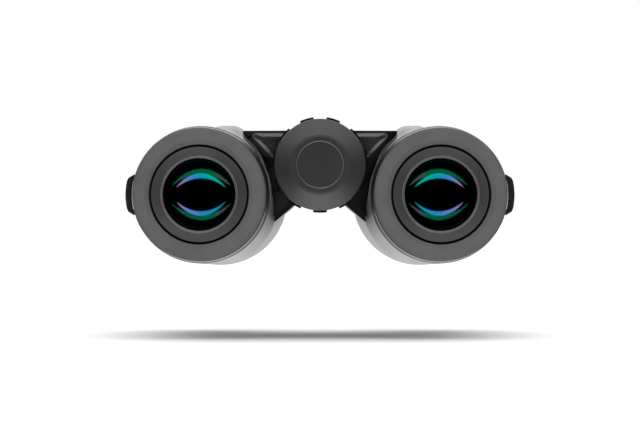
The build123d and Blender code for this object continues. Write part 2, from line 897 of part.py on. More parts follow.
# Focus nut on the screw, drive collar outside the axle, and the two pins that join them
nut_outer = axle_bore - running
with BuildPart() as focus_nut:
    nut_start = focus_station - nut_length / 2
    ring(hinge, screw_radius + running, nut_outer, nut_start, nut_start + nut_length)
    with Locations((0, station(focus_station), hinge_height)):
        Cylinder(drive_pin_radius + bond, 2 * knuckle_radius, mode=Mode.SUBTRACT)
keep(focus_nut, "focus_nut")

with BuildPart() as drive_collar:
    half_groove = groove_width / 2
    half_collar = nut_length / 2
    turned(
        hinge,
        [
            (drive_collar_bore, focus_station - half_collar),
            (drive_collar_radius, focus_station - half_collar),
            (drive_collar_radius, focus_station - half_groove),
            (groove_radius, focus_station - half_groove),
            (groove_radius, focus_station + half_groove),
            (drive_collar_radius, focus_station + half_groove),
            (drive_collar_radius, focus_station + half_collar),
            (drive_collar_bore, focus_station + half_collar),
        ],
    )
    with Locations((0, station(focus_station), hinge_height)):
        Cylinder(drive_pin_radius + bond, 2 * knuckle_radius, mode=Mode.SUBTRACT)
keep(drive_collar, "focus_drive_collar")

with BuildPart() as drive_pins:
    pin_inner = nut_outer - drive_pin_seat
    pin_length = groove_radius - bond - pin_inner
    for upward, seat in ((1, Align.MIN), (-1, Align.MAX)):
        with Locations((0, station(focus_station), hinge_height + upward * pin_inner)):
            Cylinder(drive_pin_radius, pin_length, align=(Align.CENTER, Align.CENTER, seat))
keep(drive_pins, "focus_drive_pins")
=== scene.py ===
import json
from math import atan2, cos, pi, radians, sin, sqrt, tan

import bmesh
import bpy
import numpy as np
from mathutils import Matrix, Vector


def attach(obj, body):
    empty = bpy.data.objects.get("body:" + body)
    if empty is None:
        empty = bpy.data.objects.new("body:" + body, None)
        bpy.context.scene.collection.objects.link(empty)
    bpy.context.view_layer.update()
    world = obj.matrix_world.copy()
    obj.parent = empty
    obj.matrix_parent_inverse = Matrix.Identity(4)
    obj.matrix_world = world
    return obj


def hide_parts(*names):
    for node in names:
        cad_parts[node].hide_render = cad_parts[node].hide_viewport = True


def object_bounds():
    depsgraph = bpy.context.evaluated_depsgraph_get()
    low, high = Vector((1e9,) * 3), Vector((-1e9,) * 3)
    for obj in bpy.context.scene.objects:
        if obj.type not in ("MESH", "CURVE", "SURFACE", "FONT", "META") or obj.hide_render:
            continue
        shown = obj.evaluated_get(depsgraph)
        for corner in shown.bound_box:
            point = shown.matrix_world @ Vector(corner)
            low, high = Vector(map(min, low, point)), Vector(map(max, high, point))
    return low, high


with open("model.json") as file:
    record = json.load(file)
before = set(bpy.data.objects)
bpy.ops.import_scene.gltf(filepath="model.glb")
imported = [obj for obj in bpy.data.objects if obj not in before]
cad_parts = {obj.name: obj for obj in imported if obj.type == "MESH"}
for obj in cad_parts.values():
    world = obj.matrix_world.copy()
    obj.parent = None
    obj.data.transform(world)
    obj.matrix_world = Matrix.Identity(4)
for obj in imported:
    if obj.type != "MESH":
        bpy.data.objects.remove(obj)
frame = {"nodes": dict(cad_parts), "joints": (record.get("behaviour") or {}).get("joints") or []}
cad_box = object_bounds()

# Tube chassis: each half is a thin magnesium die casting, the barrel in one piece with its arm of the
# bridge and its hinge knuckles. It is shot-blasted and sprayed with a tough, matt black paint.
# Sizes are in millimetres and angles in degrees; stations run forward from the face of the eyecups.
mm = 0.001
eye_face = cad_box[0].y
joint_places = {j["name"]: Vector(j["pos_m"]) for j in frame["joints"] if "pos_m" in j}
hinge_axis = joint_places["bridge_hinge"]
ocular_axes = {hand: joint_places[hand + "_eyecup_turn"] for hand in ("left", "right")}
inward = {"left": 1, "right": -1}
bridge_start, bridge_end = 30.0, 94.0
lean_back, lean_reach = 6.0, 19.1
panel_inner, panel_outer, panel_low, panel_high, panel_depth = 8.0, 20.5, 2.0, 9.2, 1.2
panel_pivot, panel_reach, panel_clear = Vector((11.95, 5.215)), 3.685, 11.5
panel_top, panel_corner = panel_pivot.y + panel_reach, 7.6
frame_out, frame_in, frame_depth, frame_shift, frame_shear = 0.7, 0.5, 0.4, 0.45, 0.09
frame_edge, chassis_edge, sharp_angle, flat_angle, crease_angle = 0.15, 0.35, 25, 0.5, 32
merge_gap, same_place = 0.001, 0.01


def linear(code):
    """An sRGB hex colour as the linear RGBA that shaders take."""
    parts = [int(code[i:i + 2], 16) / 255 for i in (1, 3, 5)]
    return [c / 12.92 if c < 0.04045 else ((c + 0.055) / 1.055) ** 2.4 for c in parts] + [1.0]


def add_node(tree, kind, inputs={}, **settings):
    """Adds a node with its settings. Its inputs take plain values, or links from other nodes' outputs."""
    made = tree.nodes.new(kind)
    for name, value in settings.items():
        setattr(made, name, value)
    for socket, value in inputs.items():
        if isinstance(value, bpy.types.NodeSocket):
            tree.links.new(value, made.inputs[socket])
        else:
            made.inputs[socket].default_value = value
    return made


def blank(name):
    """A new material and its empty node tree."""
    made = bpy.data.materials.new(name)
    made.use_nodes = True
    made.node_tree.nodes.clear()
    return made, made.node_tree


def grained(name, dark, light, rough, grain, depth, metallic=0.0, specular=0.5, sheen=0.0, painted_shade_size=0.0):
    """A moulded or sprayed surface: a tone that drifts a little, over a fine grain (sizes in mm). The grain
    is drawn coarser than the real one, so that it shows. With a painted shade size, painted shade darkens
    the tone towards black in corners and gaps of about that size."""
    drift, gloss_swing = 7.0, 0.02
    made, tree = blank(name)
    place = add_node(tree, "ShaderNodeTexCoord").outputs["Object"]
    cloud = add_node(tree, "ShaderNodeTexNoise", {"Vector": place, "Scale": 1 / (drift * mm), "Detail": 4.0})
    fine = add_node(tree, "ShaderNodeTexNoise", {"Vector": place, "Scale": 1 / (grain * mm), "Detail": 3.0})
    tone = add_node(tree, "ShaderNodeValToRGB", {"Fac": cloud.outputs[0]})
    for stop, position, code in zip(tone.color_ramp.elements, (0.35, 0.65), (dark, light)):
        stop.position = position
        stop.color = linear(code)
    colour = tone.outputs["Color"]
    # Painted shade: ambient occlusion darkens the tone towards black in corners and gaps.
    if painted_shade_size:
        painted_corner_shade = add_node(tree, "ShaderNodeAmbientOcclusion", {
            "Color": colour, "Distance": painted_shade_size * mm}, samples=8)
        colour = painted_corner_shade.outputs["Color"]
    gloss = add_node(tree, "ShaderNodeMapRange", {
        "Value": fine.outputs[0], "From Min": 0.3, "From Max": 0.7,
        "To Min": rough - gloss_swing, "To Max": rough + gloss_swing})
    bump = add_node(tree, "ShaderNodeBump", {
        "Height": fine.outputs[0], "Distance": depth * mm, "Strength": 0.6})
    shader = add_node(tree, "ShaderNodeBsdfPrincipled", {
        "Base Color": colour, "Roughness": gloss.outputs[0], "Metallic": metallic,
        "Specular IOR Level": specular, "Sheen Weight": sheen, "Sheen Roughness": 0.3,
        "Normal": bump.outputs[0]})
    add_node(tree, "ShaderNodeOutputMaterial", {"Surface": shader.outputs[0]})
    return made


# Sprayed paint: deep black and nearly flat, with painted shade that blackens it in corners and gaps.
chassis_paint = grained("matt_black_paint_on_magnesium", "#313233", "#373739", rough=0.36, grain=0.35,
                        depth=0.012, specular=0.3, painted_shade_size=6.0)
# Moulded plate in the sunken panel: the same black in satin, so that it mirrors a little of the studio.
panel_plate = grained("satin_panel_plate", "#2b2b2c", "#313132", rough=0.25, grain=0.3, depth=0.006,
                      specular=1.0)
# Rubbed frame of the panel: the paint shines where hands polish it, so its slopes stand out in grey.
panel_frame = grained("rubbed_panel_frame", "#303031", "#363637", rough=0.25, grain=0.3, depth=0.006,
                      specular=0.8)


def piece(name, bm, body, slot, materials, *nodes):
    """Turns a closed mesh into a piece of the object on its body, standing for these CAD nodes."""
    bmesh.ops.recalc_face_normals(bm, faces=bm.faces)
    mesh = bpy.data.meshes.new(name)
    bm.to_mesh(mesh)
    bm.free()
    for material in materials:
        mesh.materials.append(material)
    mesh.shade_smooth()
    mesh.set_sharp_from_angle(angle=radians(crease_angle))
    made = bpy.data.objects.new(name, mesh)
    bpy.context.scene.collection.objects.link(made)
    made.modifiers.new("flat_faces", "WEIGHTED_NORMAL").keep_sharp = True
    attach(made, body)
    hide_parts(*nodes)
    return made


def shallow_panel(bm):
    """Spreads the sunken panel's rim, and lifts its floor, so that its walls become a wide, gentle frame.
    The side next to the wheel stays, so the pivot lies on it, as far from the top as from the outer side.
    Along the top the frame slopes the other way, from the rim forward, so that all of it looks upward."""
    floor_verts = set()
    for v in bm.verts:
        across, up = abs(v.co.x) / mm, (v.co.z - hinge_axis.z) / mm
        depth = (v.co.y - eye_face) / mm - bridge_start
        inside = panel_inner < across < panel_outer and panel_low < up < panel_high
        inside = inside and across ** 2 + up ** 2 > panel_clear ** 2
        if inside and min(abs(depth), abs(depth - panel_depth)) < same_place:
            on_floor = depth > panel_depth / 2
            spread = 1 + (-frame_in if on_floor else frame_out) / panel_reach
            x, z = panel_pivot + (Vector((across, up)) - panel_pivot) * spread
            x -= frame_shift + frame_shear * (panel_top - z)
            at_top = min(max((up - panel_corner) / (panel_top - panel_corner), 0), 1)
            level = frame_depth * (1 - at_top) - panel_depth if on_floor else frame_depth * at_top
            v.co = ((x if v.co.x > 0 else -x) * mm, v.co.y + level * mm, hinge_axis.z + z * mm)
            if on_floor:
                floor_verts.add(v)
    slopes = set()
    for face in {face for v in floor_verts for face in v.link_faces}:
        face.material_index = 1
        if not floor_verts.issuperset(face.verts):
            slopes.add(face)
            face.material_index = 2
    bm.normal_update()
    rims = [e for e in bm.edges if len(slopes.intersection(e.link_faces)) == 1]
    bmesh.ops.bevel(bm, geom=rims, offset=frame_edge * mm, segments=2, profile=0.5, affect="EDGES",
                    clamp_overlap=False)


def lean_arm(bm, axis):
    """Leans the bridge arm's rear face back towards the barrel, where the armour rises in front of it."""
    for v in bm.verts:
        at_rear = abs((v.co.y - eye_face) / mm - bridge_start) < same_place
        if at_rear and sqrt((v.co.x - axis.x) ** 2 + (v.co.z - axis.z) ** 2) < lean_reach * mm:
            v.co.y += lean_back * mm


def finished_casting(node, axis):
    """A copy of a CAD casting, merged, with its panel, its leaning arm and its sharp edges rounded over."""
    bm = bmesh.new()
    bm.from_mesh(frame["nodes"][node].data)
    bmesh.ops.remove_doubles(bm, verts=bm.verts, dist=merge_gap * mm)
    bmesh.ops.dissolve_limit(bm, angle_limit=radians(flat_angle), verts=bm.verts, edges=bm.edges)
    for face in bm.faces:
        face.material_index = 0
    shallow_panel(bm)
    lean_arm(bm, axis)
    plain = [e for e in bm.edges if not any(face.material_index for v in e.verts for face in v.link_faces)]
    sharp = [e for e in plain if len(e.link_faces) == 2 and e.calc_face_angle() > radians(sharp_angle)]
    bmesh.ops.bevel(bm, geom=sharp, offset=chassis_edge * mm, segments=3, profile=0.5, affect="EDGES",
                    clamp_overlap=True)
    return bm


for hand in inward:
    bm = finished_casting(hand + "_tube_chassis", ocular_axes[hand])
    piece(hand + "_chassis_casting", bm, hand + "_tube", "magnesium",
          [chassis_paint, panel_plate, panel_frame], hand + "_tube_chassis")

# Armour: a rubber jacket moulded over each barrel, thicker at the objective end, with a swell for the
# fingers on the inner side, a flat shoulder beside the bridge and a web under the bridge arm. Its rear
# edge stands up in a cuff above the bridge arm, and in a taller one below it.
armour_rear, armour_front = 24.2, 122.0
rear_radius, front_radius, bore_rear, bore_front = 20.25, 21.3, 18.75, 19.45
taper_start, taper_end = 94.0, 102.0
swell_radius, swell_in, swell_down = 20.0, 4.8, 1.2
swell_start, swell_end, swell_rise, swell_fall = 26.0, 100.0, 48.0, 12.0
shoulder_top, shoulder_outer, shoulder_inner = 20.5, 4.8, 10.1
shoulder_foot, bridge_top, shoulder_rise = 13.2, 19.05, 11.0
cuff_height, cuff_low, cuff_high, cuff_ease_low, cuff_ease_high = 1.1, 22, 68, 20, 12
low_cuff_height, low_cuff_low, low_cuff_high, low_cuff_ease, low_cuff_rise = 2.7, -80, 5, 30, 12.0
settle_passes = 4
pocket_half, pocket_end, pocket_radius = 6.3, 37.0, 18.9
hood_radius, hood_floor, hood_edge, hood_break, hood_flare = 17.6, 117.0, 1.1, 0.3, 0.2
rear_edge = 0.2
window_start, window_end, window_first, window_last = 52.0, 72.0, 5, 21
web_foot, web_tip, web_wall = Vector((22.0, -24.03)), Vector((6.4, -10.8)), 1.6
web_start, web_end, web_edge, web_rear_band = bridge_start + 0.4, bridge_end - 0.3, 0.4, 2.0
web_tip_round, web_back_round = 0.5, 0.2
# Moulded rubber: a dark grey with a faint sheen, which turns pale where it is seen edge on.
armour_rubber = grained("moulded_armour_rubber", "#333334", "#3a3a3b", rough=0.32, grain=0.6, depth=0.004,
                        specular=0.6, sheen=0.2)
# The same rubber under the arm: duller, and painted blacker as shade under the arm.
shaded_web_rubber = grained("web_rubber_with_painted_shade", "#161617", "#1d1d1e", rough=0.4, grain=0.6, depth=0.01,
                     specular=0.3)


def smooth(t):
    """Smoothstep from 0 to 1, for numpy arrays too."""
    t = np.clip(t, 0.0, 1.0)
    return t * t * (3 - 2 * t)


def armour_rows(columns=288, step=0.45):
    """Rows of (station, radius for each angle), forward along the outside and then back along the bore.
    Angle 0 points inward, and a quarter turn points up."""
    angles = np.linspace(0, 2 * pi, columns, endpoint=False)
    across, up = np.cos(angles), np.sin(angles)
    stations = np.linspace(armour_rear, armour_front, int((armour_front - armour_rear) / step) + 1)
    along = stations[:, None]
    taper = smooth((along - taper_start) / (taper_end - taper_start))
    base = rear_radius + (front_radius - rear_radius) * taper
    rising = smooth((angles - radians(cuff_low)) / radians(cuff_ease_low))
    falling = smooth((radians(cuff_high) - angles) / radians(cuff_ease_high))
    reached = np.clip((along - armour_rear) / (bridge_start - armour_rear), 0, 1)
    cuff = cuff_height * (rising * falling)[None, :] * reached
    turned_down = np.where(angles > pi, angles - 2 * pi, angles)
    rising = smooth((turned_down - radians(low_cuff_low)) / radians(low_cuff_ease))
    falling = smooth((radians(low_cuff_high) - turned_down) / radians(low_cuff_ease))
    reached = np.clip((along - armour_rear) / low_cuff_rise, 0, 1)
    low_cuff = low_cuff_height * (rising * falling)[None, :] * reached
    fade = smooth((swell_end - along) / swell_fall)
    base = base + fade * (cuff + low_cuff)
    reach = swell_in * across - swell_down * up
    swell = reach + np.sqrt(swell_radius ** 2 - swell_in ** 2 - swell_down ** 2 + reach ** 2)
    ramp = smooth((along - swell_start) / swell_rise) * fade
    radius = base + np.clip(swell[None, :] - base, 0, None) * ramp
    drop, run = shoulder_top - bridge_top, shoulder_foot - shoulder_inner
    slope = (drop * shoulder_inner + run * shoulder_top) / np.maximum(drop * across + run * up, 1e-3)
    plateau = np.minimum(shoulder_top / np.maximum(up, 1e-3), slope)
    first, last = atan2(bridge_top, shoulder_foot), atan2(shoulder_top, shoulder_outer)
    level = np.where((angles > first) & (angles < last), plateau, 0.0)[None, :]
    within = smooth((along - armour_rear) / shoulder_rise)
    within = within * smooth((bridge_end + shoulder_rise / 2 - along) / shoulder_rise)
    radius = radius + np.clip(level - radius, 0, None) * within
    for _ in range(settle_passes):
        radius = (np.roll(radius, 1, 1) + 2 * radius + np.roll(radius, -1, 1)) / 4
        inner = (radius[:-2] + 2 * radius[1:-1] + radius[2:]) / 4
        radius = np.vstack([radius[:1], inner, radius[-1:]])
    pocket = (np.abs(radius * up) < pocket_half) & (across < 0) & (along < pocket_end)
    radius = np.where(pocket, pocket_radius, radius)
    rows = []
    for s, row in zip(stations, radius):
        for end, edge in ((armour_rear, rear_edge), (armour_front, hood_edge)):
            if abs(s - end) < edge:
                row = row - edge + sqrt(edge ** 2 - (edge - abs(s - end)) ** 2)
        rows.append((s, row))
    bore = [(armour_front - hood_break, hood_radius + hood_flare),
            (armour_front - 2 * hood_break, hood_radius), (hood_floor, hood_radius),
            (hood_floor, bore_front), (taper_end, bore_front), (taper_start, bore_rear),
            (window_end, bore_rear), (window_start, bore_rear), (armour_rear, bore_rear)]
    return angles, rows + [(s, np.full(columns, r)) for s, r in bore]


def bridge_rings(bm, rings, slots):
    """Faces from each ring of points to the next, the last joined to the first. A ring may be one point."""
    for k, ring in enumerate(rings):
        after = rings[(k + 1) % len(rings)]
        count = max(len(ring), len(after))
        for i in range(count if count > 1 else 0):
            j = (i + 1) % count
            corners = [ring[i % len(ring)], ring[j % len(ring)],
                       after[j % len(after)], after[i % len(after)]]
            bm.faces.new(list(dict.fromkeys(corners))).material_index = slots[k]


def cut_window(bm, rings, stations):
    """Cuts an opening through the jacket's wall, hidden in the bridge arm, for the focusing carriage's arm.
    Its sides run along two columns of points, counted from the inner side. The bore has a ring at each of
    its ends, the second and third from the last."""
    far, near = len(rings) - 3, len(rings) - 2
    outside = [k for k, s in enumerate(stations[:far]) if window_start <= s <= window_end]
    columns = range(window_first, window_last + 1)
    walls = [{rings[k][i] for k in ks for i in columns} for ks in (outside, (far, near))]
    gone = [face for face in bm.faces if any(wall.issuperset(face.verts) for wall in walls)]
    bmesh.ops.delete(bm, geom=gone, context="FACES")
    for k, b in ((outside[0], near), (outside[-1], far)):
        for i in columns[:-1]:
            bm.faces.new([rings[k][i], rings[k][i + 1], rings[b][i + 1], rings[b][i]])
    for i in (window_first, window_last):
        bm.faces.new([rings[k][i] for k in outside] + [rings[far][i], rings[near][i]])


def rounded(corners, steps=6):
    """The outline through (across, along, rounding, slot) corners, with an arc at each rounded one."""
    points = []
    for i, (across, along, rounding, *slot) in enumerate(corners):
        slot = slot[0] if slot else 0
        here = Vector((across, along))
        before = (Vector(corners[i - 1][:2]) - here).normalized()
        after = (Vector(corners[(i + 1) % len(corners)][:2]) - here).normalized()
        if not rounding:
            points.append((here, slot))
            continue
        half = before.angle(after) / 2
        centre = here + (before + after).normalized() * rounding / sin(half)
        first = here + before * rounding / tan(half) - centre
        last = here + after * rounding / tan(half) - centre
        turn = atan2(first.x * last.y - first.y * last.x, first.dot(last))
        points += [(centre + Matrix.Rotation(turn * k / steps, 2) @ first, slot) for k in range(steps + 1)]
    return points


def slab(bm, corners, start, end, edge, place, slot=0):
    """A bar of this outline along Y with its end edges eased. Place gives X and Z for (across, up) in mm."""
    outline = [place(*point) for point, _ in rounded(corners)]
    there = set(bm.faces)
    low, high = [[bm.verts.new((x, eye_face + s * mm, z)) for x, z in outline] for s in (start, end)]
    for i in range(len(low)):
        bm.faces.new([low[i - 1], low[i], high[i], high[i - 1]])
    caps = [bm.faces.new(low[::-1]), bm.faces.new(high)]
    rims = [rim for cap in caps for rim in cap.edges]
    bmesh.ops.recalc_face_normals(bm, faces=bm.faces)
    bmesh.ops.bevel(bm, geom=rims, offset=edge * mm, segments=2, profile=0.5, affect="EDGES",
                    clamp_overlap=True)
    for face in set(bm.faces) - there:
        face.material_index = slot


web_run = (web_tip - web_foot).normalized()
web_back = Vector((web_run.y, -web_run.x)) * web_wall
web = [(*web_foot, 0.0), (*web_tip, web_tip_round), (*(web_tip + web_back), web_back_round),
       (*(web_foot + web_back), 0.0)]
angles, rows = armour_rows()
for hand in inward:
    bm = bmesh.new()
    axis = ocular_axes[hand]
    rings = []
    for s, row in rows:
        xs = row * np.cos(angles) * inward[hand] * mm + axis.x
        zs = row * np.sin(angles) * mm + axis.z
        rings.append([bm.verts.new((x, eye_face + s * mm, z)) for x, z in zip(xs, zs)])
    bridge_rings(bm, rings, [0] * len(rings))
    cut_window(bm, rings, [s for s, _ in rows])
    jacket = set(bm.verts)
    slab(bm, web, web_start, web_end, web_edge,
         lambda across, up: (-inward[hand] * across * mm, hinge_axis.z + up * mm), slot=1)
    for v in set(bm.verts) - jacket:
        if (v.co.y - eye_face) / mm < bridge_start + web_rear_band:
            toward_foot = (abs(v.co.x) / mm - web_tip.x) / (web_foot.x - web_tip.x)
            v.co.y += low_cuff_rise * mm * min(max(toward_foot, 0), 1)
    piece(hand + "_armour_jacket", bm, hand + "_tube", "armour_rubber", [armour_rubber, shaded_web_rubber],
          hand + "_armour")

# Strap lugs: small moulded brackets of glass-filled nylon, held in a pocket at the outer side of each
# barrel, with a slot for a strap.
lug_start, lug_end, lug_edge = 26.0, 33.0, 0.45
lug_base, lug_foot, lug_slot, lug_corner = 18.6, 6.0, 5.2, 5.0
lug_tip, lug_shoulder, lug_bow = 22.3, 19.9, 20.65
lug_bulge, lug_set_back, slot_set_back = 0.026, 0.85, 0.9
lug_round, slot_round = 0.5, 0.3
lug_heights = (4.0, 2.6, 1.3, 0.0, -1.3, -2.6, -4.0)
slot_wall = [(sqrt(lug_bow ** 2 - up ** 2), up, 0) for up in lug_heights]
outer_wall = [(lug_tip - lug_bulge * up ** 2, up, 0) for up in lug_heights[::-1]]
lug_side, slot_side = lug_tip - lug_set_back, lug_bow - slot_set_back
lug = ([(lug_base, -lug_foot, 0), (lug_shoulder, -lug_foot, lug_round), (lug_side, -lug_corner, lug_round)]
       + outer_wall
       + [(lug_side, lug_corner, lug_round), (lug_shoulder, lug_foot, lug_round), (lug_base, lug_foot, 0)]
       + [(lug_base, lug_slot, 0), (slot_side, lug_slot, slot_round)]
       + slot_wall
       + [(slot_side, -lug_slot, slot_round), (lug_base, -lug_slot, 0)])
# Glass-filled nylon: nearly black, with a hard shine along its edges.
lug_nylon = grained("glass_filled_nylon", "#0e0f0f", "#161616", rough=0.3, grain=0.3, depth=0.01,
                    specular=0.8)
for hand in inward:
    bm = bmesh.new()
    axis = ocular_axes[hand]
    slab(bm, lug, lug_start, lug_end, lug_edge,
         lambda across, up: (axis.x - inward[hand] * across * mm, axis.z + up * mm))
    piece(hand + "_strap_bracket", bm, hand + "_tube", "plastic", [lug_nylon], hand + "_strap_lug")

# Objectives: a coated doublet in an anodised aluminium cell, screwed fast by a turned retainer, with a
# rubber seal ring ahead of it that keeps the barrel dry.
glass_ior = 1.52
# Anodised aluminium: black, with a faint gleam of metal.
anodised = grained("black_anodised_aluminium", "#17181a", "#1f2022", rough=0.38, grain=0.25, depth=0.01,
                   metallic=0.6)
# Seal rubber: dull and black, so that the joint hardly shows.
seal_rubber = grained("seal_rubber", "#121212", "#1a1a1a", rough=0.6, grain=0.4, depth=0.02)


def coated_glass(name, body, sheen, see_through):
    """Polished glass with a thin coating: dark within, and its reflections take the coating's colour.
    A haze in patches of about 5 mm keeps its polish from being perfect."""
    haze_size, rough, gloss_swing = 5.0, 0.04, 0.01
    made, tree = blank(name)
    place = add_node(tree, "ShaderNodeTexCoord").outputs["Object"]
    haze = add_node(tree, "ShaderNodeTexNoise", {
        "Vector": place, "Scale": 1 / (haze_size * mm), "Detail": 3.0})
    gloss = add_node(tree, "ShaderNodeMapRange", {
        "Value": haze.outputs[0], "From Min": 0.3, "From Max": 0.7,
        "To Min": rough - gloss_swing, "To Max": rough + gloss_swing})
    shader = add_node(tree, "ShaderNodeBsdfPrincipled", {
        "Base Color": linear(body), "Roughness": gloss.outputs[0], "IOR": glass_ior,
        "Specular IOR Level": 1.0, "Specular Tint": linear(sheen), "Alpha": 1.0 - see_through})
    add_node(tree, "ShaderNodeOutputMaterial", {"Surface": shader.outputs[0]})
    return made


def wear(material, *nodes):
    """Gives CAD nodes that keep their own shape this material."""
    for node in nodes:
        slots = frame["nodes"][node].data.materials
        slots.clear()
        slots.append(material)


# Coated objective glass: black inside, with green reflections.
objective_coating = coated_glass("objective_glass_green_coating", "#030504", "#6f9a86", see_through=0.15)
for hand in inward:
    wear(objective_coating, hand + "_objective_lens")
    wear(anodised, hand + "_objective_cell", hand + "_objective_retainer")
    wear(seal_rubber, hand + "_objective_seal")

# Prisms: a roof prism and a half-penta prism in each barrel, clamped in an anodised cage by three steel
# screws. The focusing lens runs ahead of them in its own carriage.
# Polished prism glass: clear and dark, with cool grey-blue reflections.
prism_glass = coated_glass("polished_prism_glass", "#0b0e10", "#9db4c4", see_through=0.6)
# Turned stainless steel: a bright, cool grey with soft reflections.
steel = grained("turned_stainless_steel", "#8d8f92", "#9c9ea1", rough=0.3, grain=0.5, depth=0.004,
                metallic=1.0)
for hand in inward:
    wear(prism_glass, hand + "_roof_prism", hand + "_half_penta_prism", hand + "_field_lens",
         hand + "_focus_lens")
    wear(anodised, hand + "_prism_cage", hand + "_focus_carriage")
    wear(steel, hand + "_prism_screws")

# Hinge and focus drive: a hollow steel axle in brass bushes, and inside it the focus screw, whose nut
# pulls both focusing lenses along. A brass insert in the front end takes a tripod adapter.
# Turned brass: a warm gold, a little dulled.
brass = grained("turned_brass", "#8f7840", "#a0884c", rough=0.32, grain=0.5, depth=0.004, metallic=1.0)
wear(steel, "hinge_axle", "axle_lock_screws", "focus_screw", "focus_drive_pins")
wear(brass, "hinge_bush_rear", "hinge_bush_front", "tripod_insert", "focus_nut", "focus_drive_collar")

# Eyepieces: an anodised tube and cell with two lens groups, closed by a bezel whose funnel leads down
# to a bevelled rim around the eye lens, pale grey as a painted highlight.
ocular_bodies = {"left": "left_tube", "right": "right_ocular"}
lens_radius, lens_apex, lens_curve, lens_back = 11.45, 3.05, 31.2, 9.3
inner_curve, inner_apex = 25.0, 3.55
eye_lens_edge = [(lens_radius, lens_back, 0), (0.0, lens_back, 0)]
bezel_radius, bezel_front, bezel_back = 13.8, 1.2, 3.35
seat_radius, seat_back = 11.5, 4.8
rim_bore, rim_front = 10.56, 3.75
funnel_mouth, funnel_foot, funnel_back = 13.6, 11.25, 3.0
mouth_round, bezel_round, rim_round = 0.06, 0.1, 0.08
bezel = [(bezel_radius, bezel_front, mouth_round), (bezel_radius, bezel_back, bezel_round),
         (seat_radius, bezel_back, 0), (seat_radius, seat_back, 0), (rim_bore, seat_back, 0),
         (rim_bore, rim_front, rim_round, 1), (funnel_foot, funnel_back, bezel_round),
         (funnel_mouth, bezel_front, mouth_round)]
# Bead-blasted bezel: an even, dull dark grey without highlights.
bezel_black = grained("bead_blasted_bezel", "#3b3b3c", "#414142", rough=0.5, grain=0.2, depth=0.012,
                      specular=0.4)
# Bevel round the lens: metal in a pale grey, a painted highlight that draws a light ring round the lens.
bezel_rim_highlight = grained("bezel_rim_painted_highlight", "#7c7c7c", "#868686", rough=0.35, grain=0.2, depth=0.004,
                    metallic=0.4)
# Coatings on the eye lens: one deep green, the other violet, blue and green from side to side.
lens_black, lens_rough = "#010101", 0.06
tint_reach, tint_lean_low, tint_lean_high = 7.5, -0.6, 0.2
front_tints = [(0.0, "#06a070"), (0.78, "#06a070"), (0.94, "#7c898e")]
inner_tints = [(0.08, "#ff98ff"), (0.25, "#8ca0ff"), (0.39, "#38a8f8"), (0.55, "#14b8e4"), (0.73, "#08cccc"),
               (0.92, "#12e2ae"), (1.0, "#20f0a0")]


def turned(bm, corners, axis, steps=192, edge=6):
    """Turns an outline of (radius, station, rounding, slot) corners, in mm, about a line along Y."""
    outline = rounded(corners, edge)
    rings = []
    for (radius, station), _ in outline:
        count = steps if radius > 1e-6 else 1
        turns = [2 * pi * i / steps for i in range(count)]
        r, y = radius * mm, eye_face + station * mm
        rings.append([bm.verts.new((axis.x + r * cos(t), y, axis.z + r * sin(t))) for t in turns])
    bridge_rings(bm, rings, [slot for _, slot in outline])


def dome(apex, curve, radius, steps=14):
    """The front of a convex lens, from its apex out to its rim."""
    radii = [radius * i / steps for i in range(steps + 1)]
    return [(r, apex + curve - sqrt(curve ** 2 - r ** 2), 0) for r in radii]


def eye_lens_glass(name, axis, flip):
    """Coated glass, black within. Its front mirrors the light in deep green; the next surface, more
    steeply curved, mirrors it again inside that, in a colour that runs from its outer to its inner side."""
    made, tree = blank(name)
    place = add_node(tree, "ShaderNodeTexCoord").outputs["Object"]
    centre = (axis.x, eye_face + (inner_apex + inner_curve) * mm, axis.z)
    out = add_node(tree, "ShaderNodeVectorMath", {0: place, 1: centre}, operation="SUBTRACT")
    unit = add_node(tree, "ShaderNodeVectorMath", {0: out.outputs[0]}, operation="NORMALIZE")
    inner_normal = add_node(tree, "ShaderNodeVectorTransform", {0: unit.outputs[0]}, vector_type="NORMAL",
                            convert_from="OBJECT", convert_to="WORLD")
    split = add_node(tree, "ShaderNodeSeparateXYZ", {0: place})
    across = add_node(tree, "ShaderNodeMapRange", {
        "Value": split.outputs["X"], "From Min": axis.x - flip * tint_reach * mm,
        "From Max": axis.x + flip * tint_reach * mm})
    upward = add_node(tree, "ShaderNodeMapRange", {
        "Value": split.outputs["Z"], "From Min": axis.z - tint_reach * mm,
        "From Max": axis.z + tint_reach * mm, "To Min": tint_lean_low, "To Max": tint_lean_high})
    square = add_node(tree, "ShaderNodeMath", {0: across.outputs[0], 1: 2.0}, operation="POWER")
    shifted = add_node(tree, "ShaderNodeMath", {
        0: square.outputs[0], 1: upward.outputs[0], 2: across.outputs[0]}, operation="MULTIPLY_ADD")
    tints = []
    for stops, run in ((front_tints, across), (inner_tints, shifted)):
        tints.append(add_node(tree, "ShaderNodeValToRGB", {"Fac": run.outputs[0]}))
        elements = tints[-1].color_ramp.elements
        while len(elements) < len(stops):
            elements.new(0.5)
        for element, (position, code) in zip(elements, stops):
            element.position = position
            element.color = linear(code)
    front = add_node(tree, "ShaderNodeBsdfPrincipled", {
        "Base Color": linear(lens_black), "Roughness": lens_rough, "IOR": glass_ior,
        "Specular IOR Level": 0.5, "Specular Tint": tints[0].outputs["Color"]})
    inner = add_node(tree, "ShaderNodeBsdfPrincipled", {
        "Base Color": linear(lens_black), "Roughness": lens_rough, "IOR": glass_ior,
        "Specular IOR Level": 1.0, "Specular Tint": tints[1].outputs["Color"],
        "Normal": inner_normal.outputs[0]})
    both = add_node(tree, "ShaderNodeMixShader", {0: 0.5, 1: front.outputs[0], 2: inner.outputs[0]})
    add_node(tree, "ShaderNodeOutputMaterial", {"Surface": both.outputs[0]})
    return made


